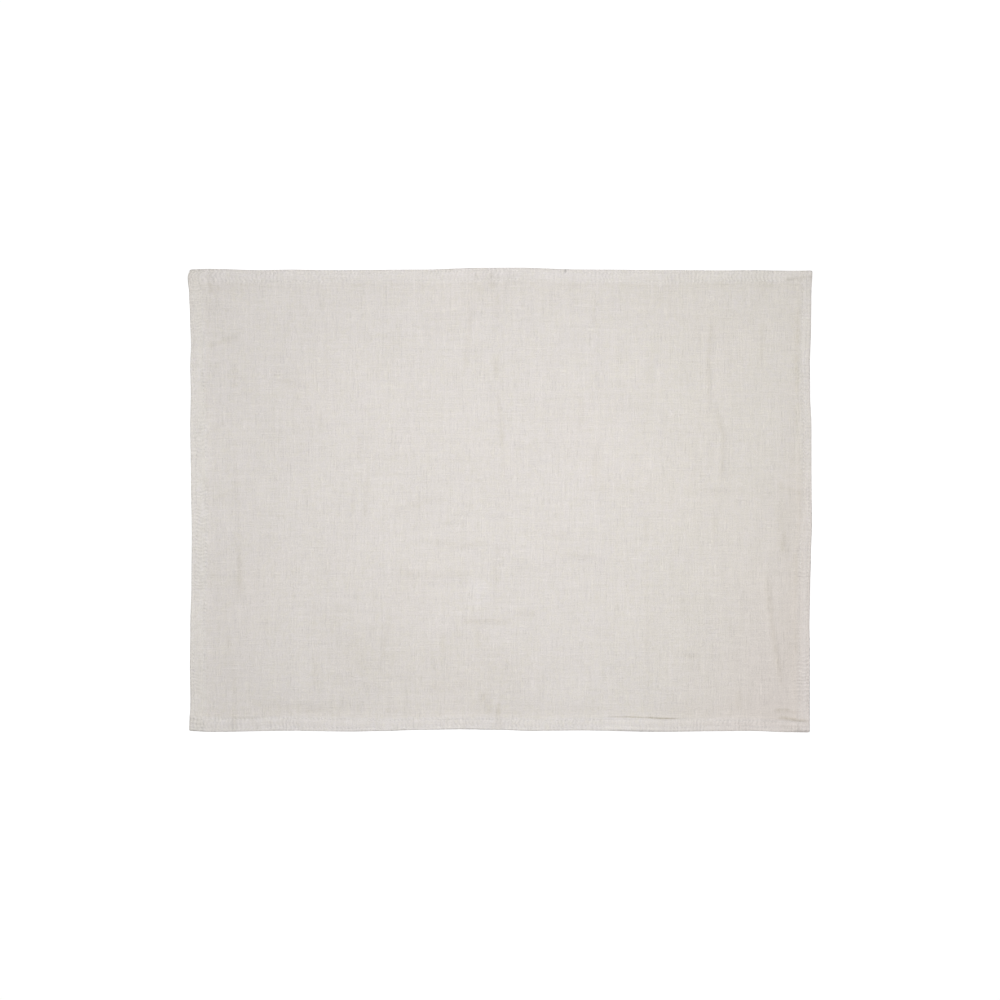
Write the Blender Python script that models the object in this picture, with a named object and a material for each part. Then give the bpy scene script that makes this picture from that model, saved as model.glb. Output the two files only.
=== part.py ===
# A linen placemat lying flat on a table, right side up.
# It is one sheet of cloth: its four hems are turned twice to the underside and sewn, so they are
# part of the same solid. Metres, +Z up, +X to the mat's right, +Y to its top edge. The origin is
# under the middle of the mat, on the table.
# Run it with: blender --background --python part.py

from collections import namedtuple
from math import hypot

import bmesh
import bpy

MM = 0.001

# Driving sizes of the sewn mat.
MAT_WIDTH = 480 * MM        # left fold to right fold
MAT_DEPTH = 357 * MM        # bottom fold to top fold
CLOTH_THICK = 1.0 * MM      # one layer of cloth
HEM_THICK = 1.8 * MM        # three layers, pressed and sewn
CORNER_THICK = 2.6 * MM     # where a top or bottom hem is turned over a side hem

# Widths of the four hems, from the outer fold to the inner one.
LEFT_HEM = 12.0 * MM
RIGHT_HEM = 10.0 * MM
TOP_HEM = 11.0 * MM
BOTTOM_HEM = 10.5 * MM

STITCH_INSET = 2.0 * MM     # from the inner fold out to the row of stitches
STITCH_SINK = 0.15 * MM     # how far the thread pulls the hem down
STEP_RUN = 0.6 * MM         # width of the step down from a hem on the underside
SETTLE_NEAR = 5.0 * MM      # places past the inner fold where the cloth comes down to the table
SETTLE_FAR = 12.0 * MM
EDGE_INSET = 0.45 * MM      # the outer fold is rounded: its faces stop this far inside its outline
EDGE_ROLL = 1.5 * MM        # the hem is at its full thickness this far in from its outline
EDGE_DROP = 0.35 * MM       # and this much lower at the rounded rim
CORNER_ROUND = 0.45 * MM    # how far a corner's point is drawn in
WAVE_REACH = 70 * MM        # how far a wave of the edge runs into the mat

PLAIN_SPACING = 18 * MM     # between mesh lines where the cloth is plain
PLAIN_CLEARANCE = 8 * MM    # a plain line keeps this far from the others
CREASE_CLEARANCE = 3.2 * MM  # and so does a line that follows a crease
SAME_PLACE = 0.01 * MM      # places closer than this are one

LINEN_COLOUR = (0.72, 0.68, 0.63, 1.0)
LINEN_ROUGHNESS = 0.9

# How each edge wanders from a straight line, in millimetres: along the edge from its middle, and
# outwards. Along runs to the right on the top and bottom edges, and up on the side edges.
Wave = namedtuple("Wave", "along out")

TOP_WAVES = (
    Wave(-240, 0.1), Wave(-224, 0.6), Wave(-186, -0.4), Wave(-162, 0.0), Wave(-128, -0.45),
    Wave(-62, 0.0), Wave(-15, 1.4), Wave(14, 1.5), Wave(62, 0.1), Wave(124, -0.3),
    Wave(170, -0.6), Wave(193, -0.45), Wave(224, -0.8), Wave(240, -0.7),
)
BOTTOM_WAVES = (
    Wave(-240, -0.2), Wave(-224, 0.6), Wave(-162, -0.3), Wave(-116, 0.35), Wave(-92, -0.1),
    Wave(-62, -1.0), Wave(-31, -1.4), Wave(0, -1.0), Wave(23, -0.2), Wave(62, -0.55),
    Wave(124, 0.55), Wave(170, 0.0), Wave(193, -0.2), Wave(224, 0.8), Wave(240, 1.0),
)
LEFT_WAVES = (
    Wave(-178, 0.7), Wave(-158, -0.1), Wave(-128, 0.25), Wave(-97, -0.05), Wave(-65, -0.9),
    Wave(-25, -1.15), Wave(20, -0.5), Wave(58, 0.0), Wave(81, -0.4), Wave(104, 0.0),
    Wave(120, -0.5), Wave(140, 0.1), Wave(158, 0.8), Wave(173, 1.9), Wave(178, 0.3),
)
RIGHT_WAVES = (
    Wave(-178, -0.9), Wave(-158, -0.75), Wave(-112, -0.7), Wave(-97, -1.05), Wave(-73, -0.6),
    Wave(-42, 0.1), Wave(-19, 0.9), Wave(19, 0.55), Wave(58, 0.5), Wave(81, -0.5),
    Wave(104, -0.65), Wave(135, 0.2), Wave(158, 0.45), Wave(178, 1.1),
)

# Soft ridges left by folding, and puckers by the hems, in millimetres: the line that each follows
# from the mat's middle, half its width, and how high it stands. Each fades out at both ends.
Crease = namedtuple("Crease", "path half_width height")

CREASES = (
    Crease(((0, 182), (0, 110), (2, 42)), 6, 0.50),            # centre fold, upper half
    Crease(((0, 190), (-1, 152)), 14, 0.60),                   # its wide end at the top hem
    Crease(((-8, -138), (-4, -158), (1, -180)), 6, 0.60),      # centre fold, lower end
    Crease(((-25, 160), (-27, 112)), 6, 0.30),                 # faint fold beside the centre one
    Crease(((161, 156), (163, 76)), 6, 0.45),                  # folds of the right third
    Crease(((166, 86), (174, 34), (168, -24)), 7, 0.50),
    Crease(((202, 148), (204, 62), (205, 0)), 6, 0.45),
    Crease(((204, -58), (213, -105), (222, -150)), 7, 0.75),   # slanted fold, lower right
    Crease(((114, -70), (114, -160)), 6, 0.30),                # faint fold over the bottom hem
    Crease(((-238, 116), (-196, 130)), 5, 0.50),               # slanted fold at the left hem
    Crease(((-98, 24), (-107, -14)), 7, 0.35),
    Crease(((-204, -36), (-201, -92)), 7, 0.35),
    Crease(((-60, -75), (-10, -77), (44, -75)), 17, 0.70),     # swell with a trough under it
    Crease(((-52, -100), (0, -101), (36, -100)), 12, 0.40),
    Crease(((70, -170), (110, -170), (152, -170)), 3, 0.45),   # tuck along the bottom hem
    Crease(((206, -170), (240, -170)), 4, 0.50),               # tucks in the lower right corner
    Crease(((206, -161), (238, -161)), 4, 0.40),
)
CREASE_FADE = 0.3           # share of its length over which a crease rises from each end


def ease(share):
    share = min(max(share, 0.0), 1.0)
    return share * share * (3 - 2 * share)


def wave_at(waves, along):
    """How far out the edge lies at a place along it."""
    along = min(max(along / MM, waves[0].along), waves[-1].along)
    for low, high in zip(waves, waves[1:]):
        if along <= high.along:
            share = ease((along - low.along) / (high.along - low.along))
            return (low.out + (high.out - low.out) * share) * MM
    return waves[-1].out * MM


def crease_height(crease, x, y):
    """How high one crease stands at a point."""
    nearest = crease.half_width * MM
    along_nearest = 0.0
    walked = 0.0
    for (x0, y0), (x1, y1) in zip(crease.path, crease.path[1:]):
        run_x, run_y = (x1 - x0) * MM, (y1 - y0) * MM
        length = hypot(run_x, run_y)
        share = ((x - x0 * MM) * run_x + (y - y0 * MM) * run_y) / length ** 2
        share = min(max(share, 0.0), 1.0)
        distance = hypot(x - x0 * MM - run_x * share, y - y0 * MM - run_y * share)
        if distance < nearest:
            nearest = distance
            along_nearest = walked + length * share
        walked += length
    across = 1 - (nearest / (crease.half_width * MM)) ** 2
    to_end = min(along_nearest, walked - along_nearest) / walked
    return crease.height * MM * across ** 2 * ease(to_end / CREASE_FADE)


def creased(x, y):
    return sum(crease_height(crease, x, y) for crease in CREASES)


def hem_lines(length, low_hem, high_hem):
    """Lines that the hems need along one side of the mat, measured from its middle."""
    lines = []
    for end, hem in ((-1, low_hem), (1, high_hem)):
        insets = (
            EDGE_INSET,
            EDGE_ROLL,
            hem / 2,
            hem - STITCH_INSET,
            hem,
            hem + STEP_RUN,
            hem + SETTLE_NEAR,
            hem + SETTLE_FAR,
        )
        lines += [end * (length / 2 - inset) for inset in insets]
    return sorted(lines)


def crease_lines(axis):
    """Places where a mesh line should follow a crease that runs across the given axis."""
    places = []
    for crease in CREASES:
        start, end = crease.path[0], crease.path[-1]
        runs_across = abs(end[1 - axis] - start[1 - axis]) > abs(end[axis] - start[axis])
        if runs_across:
            middle = sum(point[axis] for point in crease.path) / len(crease.path)
            places += [(middle + side * crease.half_width) * MM for side in (0, -1, 1)]
    return places


def mesh_lines(length, low_hem, high_hem, axis):
    """All lines across one side of the mat: those of the hems, the creases and the plain cloth."""
    lines = hem_lines(length, low_hem, high_hem)
    low = -length / 2 + low_hem + SETTLE_FAR
    high = length / 2 - high_hem - SETTLE_FAR
    wanted = [place for place in crease_lines(axis) if low < place < high]
    plain_count = round((high - low) / PLAIN_SPACING)
    plain = [low + (high - low) * step / plain_count for step in range(1, plain_count)]
    for clearance, places in ((CREASE_CLEARANCE, wanted), (PLAIN_CLEARANCE, plain)):
        for place in places:
            if min(abs(place - line) for line in lines) >= clearance:
                lines.append(place)
    return sorted(lines)


def sheet_place(x, y):
    """Where a point of the straight mat lies once its edges wander."""
    from_left, from_right = MAT_WIDTH / 2 + x, MAT_WIDTH / 2 - x
    from_bottom, from_top = MAT_DEPTH / 2 + y, MAT_DEPTH / 2 - y
    moved_x = x
    moved_x -= wave_at(LEFT_WAVES, y) * ease(1 - from_left / WAVE_REACH)
    moved_x += wave_at(RIGHT_WAVES, y) * ease(1 - from_right / WAVE_REACH)
    moved_y = y
    moved_y -= wave_at(BOTTOM_WAVES, x) * ease(1 - from_bottom / WAVE_REACH)
    moved_y += wave_at(TOP_WAVES, x) * ease(1 - from_top / WAVE_REACH)
    return moved_x, moved_y


def hem_depth(position, length, low_hem, high_hem):
    """Distance past the inner fold of the nearer hem: positive inside the mat, negative in a hem."""
    return min(length / 2 + position - low_hem, length / 2 - position - high_hem)


def bulk_under_top_layer(side_depth, end_depth):
    """How high the turned layers hold the top layer of cloth over the table."""
    depth = min(side_depth, end_depth)
    hem = 1 - ease((depth - STEP_RUN) / (SETTLE_FAR - STEP_RUN))
    corner = 1.0
    for one_depth in (side_depth, end_depth):
        corner *= 1 - ease((one_depth + STITCH_INSET) / (SETTLE_NEAR + STITCH_INSET))
    return (HEM_THICK - CLOTH_THICK) * hem + (CORNER_THICK - HEM_THICK) * corner


def sheet_heights(x, y):
    """The heights of the underside and of the upper side at a point of the straight mat."""
    side_depth = hem_depth(x, MAT_WIDTH, LEFT_HEM, RIGHT_HEM)
    end_depth = hem_depth(y, MAT_DEPTH, BOTTOM_HEM, TOP_HEM)
    depth = min(side_depth, end_depth)
    crease = creased(x, y)
    bulk = bulk_under_top_layer(side_depth, end_depth)
    # The turned layers reach down to the table in a hem. Past its inner fold one layer is left.
    under = crease if depth < SAME_PLACE else crease + bulk
    upper = crease + bulk + CLOTH_THICK
    rim = min(MAT_WIDTH / 2 - abs(x), MAT_DEPTH / 2 - abs(y))
    if rim < EDGE_ROLL - SAME_PLACE:
        upper -= EDGE_DROP
    if abs(depth + STITCH_INSET) < SAME_PLACE:
        upper -= STITCH_SINK
    return under, upper


def rim_side(position, length):
    """-1 or 1 on the rim at the low or high end of one side of the mat, and 0 elsewhere."""
    if length / 2 - abs(position) > EDGE_INSET + SAME_PLACE:
        return 0
    return 1 if position > 0 else -1


def lay_underside(bm, x_lines, y_lines):
    """A grid with a row for each mesh line, lying on the table as the mat's underside does."""
    thick = bm.verts.layers.float.new("thick")
    outward = bm.verts.layers.float_vector.new("outward")
    last_x, last_y = len(x_lines) - 1, len(y_lines) - 1
    bmesh.ops.create_grid(bm, x_segments=last_x, y_segments=last_y, size=1)
    for vert in bm.verts:
        x = x_lines[round((vert.co.x + 1) / 2 * last_x)]
        y = y_lines[round((vert.co.y + 1) / 2 * last_y)]
        under, upper = sheet_heights(x, y)
        side_x, side_y = rim_side(x, MAT_WIDTH), rim_side(y, MAT_DEPTH)
        drawn = CORNER_ROUND if side_x and side_y else 0.0
        place_x, place_y = sheet_place(x, y)
        vert.co = (place_x - side_x * drawn, place_y - side_y * drawn, under)
        vert[thick] = upper - under
        vert[outward] = (side_x * EDGE_INSET, side_y * EDGE_INSET, 0)
    return thick, outward


def raise_upper_side(bm, thick):
    """Pull the upper side up from the underside, with a wall all round."""
    lower = set(bm.verts)
    grown = bmesh.ops.extrude_face_region(bm, geom=bm.faces[:], use_keep_orig=True)
    upper = [item for item in grown["geom"] if isinstance(item, bmesh.types.BMVert)]
    for vert in upper:
        vert.co.z += vert[thick]
    return lower


def round_outer_fold(bm, lower, outward):
    """Give the wall a middle row that stands out as the rounded fold of the hem."""
    upright = [edge for edge in bm.edges if (edge.verts[0] in lower) != (edge.verts[1] in lower)]
    cut = bmesh.ops.subdivide_edges(bm, edges=upright, cuts=1)
    middle = [item for item in cut["geom_inner"] if isinstance(item, bmesh.types.BMVert)]
    for vert in middle:
        vert.co += vert[outward]


def centre_on_origin(bm):
    """Put the middle of the wandering outline over the origin."""
    for axis in (0, 1):
        places = [vert.co[axis] for vert in bm.verts]
        middle = (min(places) + max(places)) / 2
        for vert in bm.verts:
            vert.co[axis] -= middle


def linen_material():
    material = bpy.data.materials.new("linen")
    material.use_nodes = True
    shader = material.node_tree.nodes["Principled BSDF"]
    shader.inputs["Base Color"].default_value = LINEN_COLOUR
    shader.inputs["Roughness"].default_value = LINEN_ROUGHNESS
    shader.inputs["Metallic"].default_value = 0.0
    return material


def make_placemat():
    x_lines = mesh_lines(MAT_WIDTH, LEFT_HEM, RIGHT_HEM, 0)
    y_lines = mesh_lines(MAT_DEPTH, BOTTOM_HEM, TOP_HEM, 1)
    bm = bmesh.new()
    thick, outward = lay_underside(bm, x_lines, y_lines)
    lower = raise_upper_side(bm, thick)
    round_outer_fold(bm, lower, outward)
    centre_on_origin(bm)
    bmesh.ops.recalc_face_normals(bm, faces=bm.faces[:])
    mesh = bpy.data.meshes.new("placemat")
    bm.to_mesh(mesh)
    bm.free()
    mesh.attributes.remove(mesh.attributes["thick"])
    mesh.attributes.remove(mesh.attributes["outward"])
    mesh.shade_smooth()
    mesh.materials.append(linen_material())
    placemat = bpy.data.objects.new("placemat", mesh)
    bpy.context.scene.collection.objects.link(placemat)
    return placemat


def main():
    for item in list(bpy.data.objects):
        bpy.data.objects.remove(item, do_unlink=True)
    make_placemat()


main()
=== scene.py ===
from math import cos, exp, floor, hypot, pi, radians, sin

import bmesh
import bpy
from mathutils import Matrix, Vector, noise


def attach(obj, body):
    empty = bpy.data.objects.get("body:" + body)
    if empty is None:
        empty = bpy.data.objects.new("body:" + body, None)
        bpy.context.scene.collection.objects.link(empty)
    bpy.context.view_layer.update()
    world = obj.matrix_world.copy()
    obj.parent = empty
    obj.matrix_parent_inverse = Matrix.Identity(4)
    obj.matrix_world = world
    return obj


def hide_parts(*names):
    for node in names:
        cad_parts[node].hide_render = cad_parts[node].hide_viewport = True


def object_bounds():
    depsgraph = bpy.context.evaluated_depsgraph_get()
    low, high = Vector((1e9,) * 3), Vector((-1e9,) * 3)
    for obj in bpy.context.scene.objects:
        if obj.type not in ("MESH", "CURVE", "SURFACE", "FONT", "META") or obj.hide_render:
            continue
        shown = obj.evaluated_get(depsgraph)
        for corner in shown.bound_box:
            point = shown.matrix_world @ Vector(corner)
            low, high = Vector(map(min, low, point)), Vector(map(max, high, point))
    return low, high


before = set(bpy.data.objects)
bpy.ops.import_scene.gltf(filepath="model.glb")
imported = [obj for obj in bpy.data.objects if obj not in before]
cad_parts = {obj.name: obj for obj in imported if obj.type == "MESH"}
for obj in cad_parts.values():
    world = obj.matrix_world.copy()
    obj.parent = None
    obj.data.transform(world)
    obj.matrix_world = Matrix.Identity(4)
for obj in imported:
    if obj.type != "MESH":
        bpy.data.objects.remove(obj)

cadLow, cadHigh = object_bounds()
cadSize = cadHigh - cadLow
mm = 0.001

# How each edge wanders, in mm: along the edge from its middle, and outwards.
topWaves = [
    (-240, 0.1), (-224, 0.6), (-186, -0.4), (-162, 0.0), (-128, -0.45), (-62, 0.0), (-15, 1.4),
    (14, 1.5), (62, 0.1), (124, -0.3), (170, -0.6), (193, -0.45), (224, -0.8), (240, -0.7),
]
bottomWaves = [
    (-240, -0.2), (-224, 0.6), (-162, -0.3), (-116, 0.35), (-92, -0.1), (-62, -1.0), (-31, -1.4),
    (0, -1.0), (23, -0.2), (62, -0.55), (124, 0.55), (170, 0.0), (193, -0.2), (224, 0.8), (240, 1.0),
]
leftWaves = [
    (-178, 0.7), (-158, -0.1), (-128, 0.25), (-97, -0.05), (-65, -0.9), (-25, -1.15), (20, -0.5),
    (58, 0.0), (81, -0.4), (104, 0.0), (120, -0.5), (140, 0.1), (158, 0.8), (173, 1.9), (178, 0.3),
]
rightWaves = [
    (-178, -0.9), (-158, -0.75), (-112, -0.7), (-97, -1.05), (-73, -0.6), (-42, 0.1), (-19, 0.9),
    (19, 0.55), (58, 0.5), (81, -0.5), (104, -0.65), (135, 0.2), (158, 0.45), (178, 1.1),
]


def furthestOut(waves):
    return max(out for along, out in waves) * mm


# Each hem's width, how far its two rows of stitches run from the outer fold, and where their first
# needle hole would fall along the flat cut.
hems = {
    "left": {"width": 12.0 * mm, "rows": (2.7 * mm, 10.5 * mm), "phase": 0.9 * mm},
    "right": {"width": 10.0 * mm, "rows": (2.0 * mm, 7.6 * mm), "phase": 2.1 * mm},
    "top": {"width": 11.0 * mm, "rows": (2.1 * mm, 8.9 * mm), "phase": 0.3 * mm},
    "bottom": {"width": 10.5 * mm, "rows": (2.1 * mm, 8.8 * mm), "phase": 1.6 * mm},
}
# By what percent the cloth is darker across each hem, inwards from its outer fold in mm: painted shade where
# positive, painted light where negative.
hemShadeAndLight = {
    "left": [
        (0, -3.8), (2, -3.3), (5.5, -2.8), (8.5, -0.7), (10, -0.3), (10.6, -2.3), (11.6, -3.4),
        (12.4, -1.1), (14, 0), (20, -0.5), (30, 0),
    ],
    "right": [
        (0, -0.5), (1.5, 0.8), (2.3, 0), (3.9, -3), (5.4, 0.2), (6.5, 2.4), (7.7, 2.6),
        (8.5, 1.4), (10.4, 3.2), (11.6, 2.6), (13, 1.4), (15, 0.8), (20, 0.4), (30, 0),
    ],
    "top": [
        (0, 1.8), (2.3, 0.3), (3.5, -1.4), (5, -0.2), (7, 2.4), (9, 1.2), (11, 2), (13, 1), (20, 0), (30, 0),
    ],
    "bottom": [
        (0, 1.9), (0.8, 1.5), (1.5, -1.9), (2.3, -3.7), (3.1, -1.6), (4, -0.2), (6.5, 0.9), (7.7, -0.3),
        (8.5, -1.9), (9.3, -2.7), (10.2, -1.3), (11, 0.3), (12, 1.8), (14, 2.1), (16, 1.5), (20, 0.6),
        (30, 0),
    ],
}
# By what percent of painted shade each outer fold is darker, along the edge from its middle in mm.
foldShadeLines = {
    "left": [
        (-178, 6), (-165, 7), (-145, 3), (-120, 3), (-95, 5), (-80, 5), (-65, 2), (-20, 0),
        (60, 0), (110, 3), (125, 1), (150, 3), (165, 7), (178, 6),
    ],
    "right": [(-178, 14), (-150, 10), (-95, 9), (-50, 7), (-38, 2), (-25, 6), (20, 3), (70, 5), (178, 8)],
    "top": [
        (-240, 6), (-212, 3), (-190, 1), (-165, 4), (-145, 0), (-120, 3), (-60, 0), (-40, 3),
        (0, 0), (40, 3), (60, 3), (75, 0), (140, 1), (175, 1), (190, 5), (240, 3),
    ],
    "bottom": [
        (-240, 10), (-212, 8), (-197, 1), (-181, 6), (-160, 2), (-135, 0), (-119, 5), (-90, 14),
        (-72, 8), (-57, 3), (-41, 14), (-10, 8), (20, 3), (60, 3), (78, 6), (96, 24), (115, 24),
        (131, 8), (145, 3), (175, 5), (195, 1), (208, 1), (221, 6), (240, 10),
    ],
}

# How far each hem's outer and inner rows wander, in mm: along the edge from its middle, and inwards.
rowDrifts = {
    "left": (
        [(-178, 0), (-50, 0), (-20, 0.8), (10, 1.5), (60, 1.5), (80, 0.8), (105, -0.7), (178, -0.7)],
        [
            (-178, 0.2), (-110, 0), (-45, 0), (-18, 0.8), (58, 0.8), (82, -0.8), (120, -0.8),
            (150, -1.5), (178, -1.5),
        ],
    ),
    "right": (
        [(-178, -0.4), (-135, -0.4), (-105, 0), (35, 0), (75, 0.8), (100, 1.5), (178, 1.5)],
        [(-178, 0.6), (-35, 0.6), (-12, -1.5), (80, -1.5), (105, -0.8), (178, -0.8)],
    ),
    "top": (
        [(-240, 0), (-195, 0.5), (-100, 0.5), (-70, 0), (5, 0), (25, 0.5), (90, 0.5), (112, 0), (240, 0)],
        [(-240, 0), (-138, 0), (-118, -0.8), (-72, -0.8), (-50, 0), (138, 0), (160, -0.8), (240, -0.8)],
    ),
    "bottom": (
        [(-240, 0), (-190, 0), (-168, 0.6), (-120, 0.6), (-97, 0), (25, 0), (50, 0.5), (88, 1.2), (240, 1.2)],
        [(-240, 0.7), (-122, 0.7), (-97, -0.8), (62, -0.8), (85, 0), (150, 0), (180, -0.8), (240, -0.8)],
    ),
}

cloth = {
    "width": cadSize.x - furthestOut(leftWaves) - furthestOut(rightWaves),
    "depth": cadSize.y - furthestOut(topWaves) - furthestOut(bottomWaves),
    "thick": 0.42 * mm,
    "layerPitch": 0.45 * mm,  # from one layer of a hem to the next
    "cornerPitch": 0.28 * mm,  # nine layers are pressed hard where two hems cross
    "rawEdge": 1.9 * mm,  # the turned-in raw edge ends this far inside the outer fold
    "step": 2.5 * mm,  # a top or bottom hem comes down off a side hem in this distance
    "settle": 3.6 * mm,  # past a hem the cloth comes down to the table in this distance
    "waveReach": 70 * mm,  # how far a wave of the edge runs into the mat
    "mostPressed": 0.4,  # least share of its thickness that pressing leaves it
    "driftStart": 0.6 * mm,  # the rows' drift starts this far inside the outer fold,
    "driftPast": 2 * mm,  # begins to fade this far past the hem
    "driftFade": 24 * mm,  # and is gone after this distance
    "cornerRound": 1.1 * mm,
    "spacing": 2.85 * mm,  # between mesh lines where the cloth is plain
    "pastHem": (0.7 * mm, 1.8 * mm, 3.2 * mm),  # mesh lines just past a hem
    "cockle": 0.16 * mm,  # the cloth's own gentle unevenness
    "cockleBroad": (46 * mm, 38 * mm),
    "cockleFine": (17 * mm, 21 * mm),
    "creaseShade": 1.10,  # scales every crease's painted shade
    "creaseFade": 0.25,  # share of its length over which a crease rises from each end
    "creaseNarrow": 5,  # a crease with a smaller half width, in mm, gets a finer mesh
}
shift = Vector((
    (furthestOut(leftWaves) - furthestOut(rightWaves)) / 2,
    (furthestOut(bottomWaves) - furthestOut(topWaves)) / 2,
    0,
))
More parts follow.
